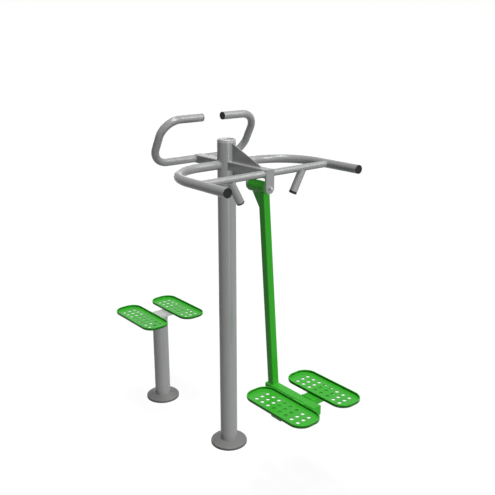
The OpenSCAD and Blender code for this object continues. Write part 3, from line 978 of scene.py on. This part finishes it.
@dataclass
class MainStand(Assembly):
    """Main post with its cover, cap, two arms and two gussets.

    Attributes:
        arm_corner: Corner radius of the arms.
        handle_radius: Radius of the twister handle's lower tube.
        clear: What a gusset's bead leaves free at its ends.
        seam_inset: How far the cap's seam lies under the post's surface.
        saddle_inset: How far the beads over and under the handle's tube sink into the arm.
    """

    post: Room = room("main_post")
    arm: Room = room("front_arm")
    rear_arm: Room = room("rear_arm")
    top_gusset: Room = room("top_gusset")
    under_gusset: Room = room("under_gusset")
    arm_corner: float = 0.004
    handle_radius: float = 0.019
    clear: float = 0.003
    seam_inset: float = 0.0004
    saddle_inset: float = 0.0005

    def dress(self) -> None:
        """Paints the stand."""
        self.paints.dress(FRAME_PAINT, "main_post", "front_arm", "rear_arm", "top_gusset", "under_gusset")
        self.paints.dress(POST_CAP_HIGHLIGHT_PAINT, "post_cap")
        self.paints.dress(BASE_PAINT, "main_flange", "main_base_cover")

    def weld(self) -> None:
        """Lays the stand's welds."""
        radius = self.post.high.x
        post = Tube(Vector(), Z_AXIS, radius)
        sizes = (self.arm.size.y, self.arm.size.z)
        outline = round_frame(Z_AXIS * self.arm.middle.z, Y_AXIS, Z_AXIS, sizes, self.arm_corner)
        self.welds.lay("weld_front_arm", post.meet(outline, X_AXIS))
        self.welds.lay("weld_rear_arm", post.meet(outline, -X_AXIS))
        self._weld_gusset("weld_top_gusset", self.top_gusset, Z_AXIS)
        self._weld_gusset("weld_under_gusset", self.under_gusset, -Z_AXIS)
        self._weld_handle_joint()
        seam = circle(Z_AXIS * self.post.high.z, Z_AXIS, radius - self.seam_inset, count=96)
        self.welds.lay("weld_post_cap", [seam], bead=Bead.SEAM)

    def _weld_gusset(self, name: str, gusset: Room, way: Vector) -> None:
        """Lays both sides of a gusset, along the post and along the arm.

        Args:
            name: The piece's name.
            gusset: Room of the gusset.
            way: The direction from the arm to the gusset.
        """
        root_x, root_z = self.post.high.x, gusset.low.z if way.z > 0.0 else gusset.high.z
        runs: list[Path] = []
        for y in (gusset.low.y, gusset.high.y):
            foot = Vector((root_x, y, root_z))
            for along, length in ((way, gusset.size.z), (X_AXIS, gusset.high.x - root_x)):
                runs.append([foot + along * self.clear, foot + along * (length - self.clear)])
        self.welds.lay(name, runs=runs)

    def _weld_handle_joint(self) -> None:
        """Lays the joint between the rear arm and the twister handle's lower tube."""
        arm = self.rear_arm
        tube = Tube(Vector((arm.low.x, 0.0, arm.middle.z)), Y_AXIS, self.handle_radius)
        outline = round_frame(tube.point, Y_AXIS, Z_AXIS, (arm.size.y, arm.size.z), self.arm_corner)
        runs = tube.meet(outline, X_AXIS)
        half = Y_AXIS * (arm.high.y - self.arm_corner)
        for way in SIDES:
            middle = tube.point + Z_AXIS * way * (arm.size.z / 2.0 - self.saddle_inset)
            runs.append([middle - half, middle + half])
        self.welds.lay("weld_twist_handle", runs=runs)


@dataclass
class SkiHandles(Assembly):
    """Bent outer tubes, crossbar halves, stub handles and their caps.

    Attributes:
        stub_y: Place of a stub handle's root.
        stub_radius: Radius of a stub handle.
        stub_lean: Lean of a stub handle, in degrees.
    """

    post: Room = room("main_post")
    arm: Room = room("front_arm")
    outer: Room = room("ski_frame_right")
    crossbar: Room = room("ski_crossbar_right")
    stub_y: float = 0.221
    stub_radius: float = 0.019
    stub_lean: float = 29.7

    def dress(self) -> None:
        """Paints the tubes and finishes the caps."""
        self.paints.dress(SKI_GRIP_PAINT, "ski_frame_left", "ski_frame_right")
        self.paints.dress(FRAME_PAINT, "ski_crossbar_left", "ski_crossbar_right")
        self.paints.dress(FRAME_PAINT, "stub_handle_left", "stub_handle_right")
        self.paints.dress(CAP_PLASTIC, "ski_grip_caps", "stub_handle_caps")

    def weld(self) -> None:
        """Lays the handles' welds."""
        level, outer_radius = self.outer.middle.z, self.outer.size.z / 2.0
        bar_x, bar_radius = self.crossbar.middle.x, self.crossbar.size.x / 2.0
        post = Tube(Vector(), Z_AXIS, self.post.high.x)
        bar = Tube(Vector((bar_x, 0.0, level)), Y_AXIS, bar_radius)
        root = circle(Vector((self.outer.low.x + outer_radius, 0.0, level)), Y_AXIS, outer_radius)
        lean = math.radians(self.stub_lean)
        for side, word in zip(SIDES, ("left", "right")):
            out = Y_AXIS * side
            self.welds.lay(f"weld_ski_frame_{word}", post.meet(root, out))
            grip = Tube(bar.point + out * (self.outer.high.y - outer_radius), X_AXIS, outer_radius)
            on_grip = grip.meet(circle(grip.point, Y_AXIS, bar_radius, count=48), -out)
            on_arm = circle(bar.point + out * self.arm.high.y, Y_AXIS, bar_radius, count=48)
            self.welds.lay(f"weld_crossbar_{word}", [*on_grip, on_arm])
            along = Vector((0.0, -side * math.sin(lean), -math.cos(lean)))
            stub = circle(bar.point + out * self.stub_y, along, self.stub_radius, count=72)
            self.welds.lay(f"weld_stub_{word}", runs=bar.meet(stub, along), bead=Bead.SMALL)


class TwistHandle(Assembly):
    """Leaning open handle over the rear arm, with its two caps."""

    def dress(self) -> None:
        """Paints the handle and finishes its caps."""
        self.paints.dress(TWIST_GRIP_PAINT, "twist_handle")
        self.paints.dress(CAP_PLASTIC, "twist_handle_caps")


@dataclass
class SwingStation(Assembly):
    """Pivot ears with their axle, and the green arm, beam and footplates that swing on it.

    Attributes:
        corner: Corner radius of the arm and of the beams.
        arm_foot: Place along x of the arm's centre line at the footplates' underside.
        arm_lean: Forward lean of the arm, in degrees.
        ear_clear: What the beads under the arm leave free at an ear's edges.
        side_clear: What the beads up the front ear leave free at the arm's edges.
        web_clear: What the web's beads leave free at their ends.
        sink: How far the beads over and beside the crossbar sink into it.
        stitch_starts: Where stitches start, counted outwards from the footplates' middle.
    """

    front_arm: Room = room("front_arm")
    front_ear: Room = room("front_ear")
    rear_ear: Room = room("rear_ear")
    barrel: Room = room("swing_barrel")
    arm: Room = room("swing_arm")
    web: Room = room("swing_web")
    beam: Room = room("foot_beam")
    crossbar: Room = room("foot_crossbar")
    plate: Room = room("ski_plate_right")
    corner: float = 0.004
    arm_foot: float = 0.352
    arm_lean: float = 4.9
    ear_clear: float = 0.003
    side_clear: float = 0.004
    web_clear: float = 0.002
    sink: float = 0.0015
    stitch_starts: tuple[float, float] = (-0.040, 0.010)

    def dress(self) -> None:
        """Paints the ears and the swinging parts, and finishes the fasteners and bearings."""
        self.paints.dress(FRAME_PAINT, "front_ear", "rear_ear")
        self.paints.dress(ARM_SHADED_PAINT, "swing_barrel", "swing_arm", "swing_web")
        self.paints.dress(LEAF_PAINT, "foot_beam", "foot_beam_ends", "foot_crossbar", "foot_crossbar_ends")
        self.paints.dress(DECK_PAINT, "ski_plate_left", "ski_plate_right")
        self.paints.dress(ZINC_PLATE, "axle_washers", "axle_nuts")
        self.paints.dress(TURNED_STEEL, "pivot_axle", "dust_washers", "swing_bearings", "swing_spacer")

    def weld(self) -> None:
        """Lays the station's welds."""
        self._weld_ears()
        self._weld_arm()
        self._weld_beam()
        self._weld_plates()

    def _arm_x(self, z: float) -> float:
        """Place along x of the arm's centre line at a height."""
        return self.arm_foot - (z - self.plate.low.z) * math.tan(math.radians(self.arm_lean))

    def _weld_ears(self) -> None:
        """Lays the joints between the front arm and the two ears."""
        under, top = self.front_arm.low.z, self.front_arm.high.z
        front, half = self.front_ear.low.x, self.front_ear.high.y - self.ear_clear

        def across(x: float) -> Path:
            """Run under the arm along an ear's face."""
            return [Vector((x, -half, under)), Vector((x, half, under))]

        runs = [
            [Vector((front, y, under + self.side_clear)), Vector((front, y, top - self.side_clear))]
            for y in (self.front_ear.low.y, self.front_ear.high.y)
        ]
        self.welds.lay("weld_front_ear", runs=[*runs, across(front)], bead=Bead.SMALL)
        runs = [across(self.rear_ear.low.x), across(self.rear_ear.high.x)]
        self.welds.lay("weld_rear_ear", runs=runs)

    def _weld_arm(self) -> None:
        """Lays the joints of the barrel, the arm and the web between them."""
        lean, side = math.radians(self.arm_lean), self.arm.size.y
        up = Vector((-math.sin(lean), 0.0, math.cos(lean)))
        across = Vector((math.cos(lean), 0.0, math.sin(lean)))
        pivot_z, top = self.barrel.middle.z, self.barrel.low.z
        barrel = Tube(Z_AXIS * pivot_z, X_AXIS, pivot_z - top)
        middle = Vector((self._arm_x(pivot_z), 0.0, pivot_z))
        outline = round_frame(middle, across, Y_AXIS, (side, side), self.corner)
        self.welds.lay("weld_barrel_arm", barrel.meet(outline, -up), body=Body.SWING, paint=ARM_SHADED_PAINT)

        rear = side / 2.0 / math.cos(lean)
        web_x, web_z = self.web.low.x + self.web_clear, self.web.low.z
        runs: list[Path] = []
        for y in (self.web.low.y, self.web.high.y):
            corner = Vector((self._arm_x(top) - rear, y, top))
            runs.append([Vector((web_x, y, top)), corner])
            runs.append([corner, Vector((self._arm_x(web_z) - rear, y, web_z + self.web_clear))])
        self.welds.lay("weld_web", runs=runs, body=Body.SWING, paint=ARM_SHADED_PAINT)

        foot = Vector((self._arm_x(self.beam.high.z), 0.0, self.beam.high.z))
        ring = round_frame(foot, X_AXIS, Y_AXIS, (2.0 * rear, side), self.corner)
        self.welds.lay("weld_arm_foot", [ring], bead=Bead.SMALL, body=Body.SWING, paint=LEAF_PAINT)

    def _weld_beam(self) -> None:
        """Lays the joints of the foot beam, its crossbar and their end plates."""
        beam, cross = self.beam, self.crossbar
        lay = partial(self.welds.lay, body=Body.SWING, paint=LEAF_PAINT)
        sizes = (beam.size.y, beam.size.z)
        rings = [
            round_frame(Vector((x, 0.0, beam.middle.z)), Y_AXIS, Z_AXIS, sizes, self.corner)
            for x in (beam.low.x, beam.high.x)
        ]
        lay("weld_beam_ends", rings, bead=Bead.EDGE)
        middle = Vector((cross.middle.x, 0.0, cross.middle.z))
        outline = round_frame(middle, X_AXIS, Z_AXIS, (cross.size.x, cross.size.z), self.corner)
        for end, y, bead in (("roots", beam.high.y, Bead.ROOT), ("ends", cross.high.y, Bead.EDGE)):
            rings = [[point + Y_AXIS * side * y for point in outline] for side in SIDES]
            lay(f"weld_crossbar_{end}", rings, bead=bead)
        reach = X_AXIS * (cross.size.x / 2.0 - self.corner)
        crests = [Vector((cross.middle.x, side * (beam.high.y - self.sink), beam.high.z)) for side in SIDES]
        runs = [[crest - reach, crest + reach] for crest in crests]
        lay("weld_crossbar_crests", runs=runs, bead=Bead.CREST)

    def _weld_plates(self) -> None:
        """Lays short stitches between the crossbar's sides and the undersides of the footplates."""
        xs = (self.crossbar.low.x + self.sink, self.crossbar.high.x - self.sink)
        ys = [self.plate.middle.y + start for start in self.stitch_starts]
        runs = stitches(xs, ys, self.plate.low.z - self.sink)
        self.welds.lay("weld_ski_plates", runs=runs, bead=Bead.SMALL, body=Body.SWING, paint=LEAF_PAINT)


@dataclass
class TwistStation(Assembly):
    """Short post with its cover and bearings, and the bar and footplates that turn on it.

    Attributes:
        stitch_starts: Where stitches start, counted outwards from the footplates' middle.
    """

    bar: Room = room("twist_bar")
    spindle: Room = room("twist_spindle")
    plate: Room = room("twist_plate_right")
    stitch_starts: tuple[float, float] = (-0.052, -0.006)

    def dress(self) -> None:
        """Paints the station and finishes its bearings and fasteners."""
        self.paints.dress(FRAME_PAINT, "twist_post")
        self.paints.dress(BAR_PAINT, "twist_bar")
        self.paints.dress(BASE_PAINT, "twist_flange", "twist_base_cover")
        self.paints.dress(DECK_PAINT, "twist_plate_left", "twist_plate_right")
        self.paints.dress(TURNED_STEEL, "bearing_housing", "twist_bearings", "bearing_circlip", "twist_spindle")
        self.paints.dress(ZINC_PLATE, "spindle_washer", "spindle_nut")

    def weld(self) -> None:
        """Lays the station's welds."""
        post_x = self.bar.middle.x
        hub_radius = self.spindle.high.x - post_x
        hub = circle(Vector((post_x, 0.0, self.bar.low.z)), Z_AXIS, hub_radius, count=96)
        self.welds.lay("weld_hub", [hub], bead=Bead.SMALL, body=Body.TWISTER)
        ys = [self.plate.middle.y + start for start in self.stitch_starts]
        runs = stitches((self.bar.low.x, self.bar.high.x), ys, self.bar.high.z)
        self.welds.lay("weld_twist_plates", runs=runs, bead=Bead.SMALL, body=Body.TWISTER, paint=LEAF_PAINT)


LAMP_DISTANCE = 8.0
FLOOR_RADIUS = 12.0
FLOOR_RIM = 0.7
FLOOR_MIDDLE = -0.1
# Squares of the distances from the middle between which the shadow fades out.
FLOOR_FADE = (1.5, 7.0)
FLOOR_BOUNCE = 0.08
FLOOR_PALE = 0.9
FLOOR_GLOW = 1.04
GLOW_SHARE = 0.85


def way(azimuth: float, elevation: float) -> Vector:
    """Direction from its turn, from +X towards +Y, and its rise over the horizon, in degrees."""
    turn, rise = math.radians(azimuth), math.radians(elevation)
    return Vector((math.cos(turn) * math.cos(rise), math.sin(turn) * math.cos(rise), math.sin(rise)))


def aim(name: str, data: bpy.types.ID, place: Sequence[float], direction: Vector) -> bpy.types.Object:
    """Puts up a camera or a lamp.

    Args:
        name: Its name.
        data: What it shows or how it shines.
        place: Where it stands.
        direction: Where it points.

    Returns:
        The camera or the lamp.
    """
    thing = bpy.data.objects.new(name, data)
    bpy.context.scene.collection.objects.link(thing)
    thing.location = place
    thing.rotation_euler = direction.to_track_quat("-Z", "Y").to_euler()
    return thing


@dataclass(frozen=True)
class Lamp:
    """Distant lamp.

    Attributes:
        name: Its name.
        azimuth: Where it stands, from +X towards +Y, in degrees.
        elevation: How high it stands over the horizon, in degrees.
        spread: Width of its disc, in degrees.
        power: Its power.
        shadow: Whether it throws shadows.
    """

    name: str
    azimuth: float
    elevation: float
    spread: float
    power: float
    shadow: bool = False

    def hang(self) -> None:
        """Makes the lamp and turns it towards the middle."""
        data = bpy.data.lights.new(self.name, "SUN")
        data.angle = math.radians(self.spread)
        data.energy = self.power
        data.use_shadow = self.shadow
        out = way(self.azimuth, self.elevation)
        aim(self.name, data, out * LAMP_DISTANCE, -out)


@dataclass
class Studio:
    """Camera, pale floor, soft lamps and white surroundings.

    Attributes:
        camera_place: Where the camera stands.
        heading: Turn of its view from -X towards +Y, in degrees.
        pitch: How far it looks down, in degrees.
        focal: Focal length in pixels of the photograph's frame.
        image_side: Side of that frame in pixels.
        sensor: Width of the camera's sensor in millimetres.
        clip: Nearest and farthest distance that the camera sees.
        lamps: The lamps.
        sky: Level of the light from all round.
    """

    camera_place: Triple = (2.5816, -2.0367, 2.1205)
    heading: float = 40.02
    pitch: float = 17.23
    focal: float = 691.6
    image_side: float = 495.0
    sensor: float = 36.0
    clip: tuple[float, float] = (0.05, 60.0)
    lamps: Sequence[Lamp] = (
        Lamp("front_lamp", 0.0, 38.0, 25.0, 1.85),
        Lamp("top_lamp", 0.0, 88.0, 10.0, 1.14, True),
        Lamp("high_lamp", -30.0, 68.0, 25.0, 0.54, True),
        Lamp("side_lamp", 42.0, 26.0, 20.0, 0.44),
        Lamp("crest_lamp", 62.0, 44.0, 13.0, 0.27),
        Lamp("low_lamp", -14.0, -8.0, 8.0, 0.17),
        Lamp("lower_lamp", -14.0, -15.0, 8.0, 0.13),
        Lamp("low_side_lamp", 28.0, -8.0, 6.0, 0.08),
        Lamp("left_lamp", -78.0, 2.0, 30.0, 0.16),
        Lamp("back_lamp", 148.0, -6.0, 25.0, 0.5),
    )
    sky: float = 0.035

    def camera(self) -> None:
        """Makes the camera at the photograph's viewpoint."""
        data = bpy.data.cameras.new("photo_camera")
        data.sensor_width = self.sensor
        data.lens = self.focal / self.image_side * self.sensor
        data.clip_start, data.clip_end = self.clip
        view = way(180.0 - self.heading, -self.pitch)
        bpy.context.scene.camera = aim("photo_camera", data, self.camera_place, view)

    def _seen(self, g: Graph) -> Wire:
        """Share of rays that show the surroundings: straight ones, and those in gloss or glass.

        Args:
            g: The graph to build in.

        Returns:
            A wire of 0 or 1.
        """
        seen = g.node("ShaderNodeLightPath", {}, {}, "Is Camera Ray")
        for kind in ("Is Glossy Ray", "Is Transmission Ray"):
            seen = seen.larger(g.node("ShaderNodeLightPath", {}, {}, kind))
        return seen

    def surroundings(self) -> None:
        """Makes the world: white where it is seen, a soft grey where it lights the object."""
        world = bpy.data.worlds.new("studio_world")
        world.use_nodes = True
        bpy.context.scene.world = world
        g = Graph(world.node_tree)
        soft = g.node("ShaderNodeBackground", {}, {"Color": grey(1.0), "Strength": self.sky})
        white = g.node("ShaderNodeBackground", {}, {"Color": grey(1.0), "Strength": 1.0})
        g.end("ShaderNodeOutputWorld", g.mix(self._seen(g), soft, white))

    def floor(self) -> None:
        """Makes a pale round floor that keeps the object's shadow and melts into the white."""
        deselect_all()
        bpy.ops.mesh.primitive_circle_add(vertices=96, radius=FLOOR_RADIUS, fill_type="NGON")
        ground = bpy.context.object
        ground.name = "studio_floor"
        bpy.ops.object.mode_set(mode="EDIT")
        bpy.ops.mesh.select_all(action="SELECT")
        bpy.ops.mesh.inset(thickness=FLOOR_RADIUS * FLOOR_RIM, depth=0.0)
        bpy.ops.object.mode_set(mode="OBJECT")
        material, g = new_material("studio_floor")
        place = g.place()
        along, across = g.part(place, "X") - FLOOR_MIDDLE, g.part(place, "Y")
        far = (along * along + across * across).ramp(*FLOOR_FADE)
        bounce = g.node("ShaderNodeBsdfDiffuse", {}, {"Color": grey(FLOOR_BOUNCE)})
        pale = g.node("ShaderNodeBsdfDiffuse", {}, {"Color": grey(FLOOR_PALE)})
        white = g.node("ShaderNodeEmission", {}, {"Color": grey(1.0), "Strength": FLOOR_GLOW})
        shown = g.mix(far * (1.0 - GLOW_SHARE) + GLOW_SHARE, pale, white)
        g.end("ShaderNodeOutputMaterial", g.mix(self._seen(g), bounce, shown))
        ground.data.materials.append(material)

    def build(self) -> None:
        """Makes the whole studio."""
        bpy.context.scene.view_settings.view_transform = "Standard"
        self.camera()
        for lamp in self.lamps:
            lamp.hang()
        self.surroundings()
        self.floor()
        log.info("studio: camera, lamps, world and floor")


def main() -> None:
    """Builds the studio and dresses every sub-assembly in order."""
    logging.basicConfig(level=logging.INFO, format="%(message)s")
    Studio().build()
    paints = PaintShop()
    welds = WeldShop(paints)
    for kind in (MainStand, SkiHandles, TwistHandle, SwingStation, TwistStation):
        assembly = kind(paints, welds)
        assembly.dress()
        assembly.weld()
        log.info("%s: done", kind.__name__)
    welds.close()


if __name__ == "__main__":
    main()
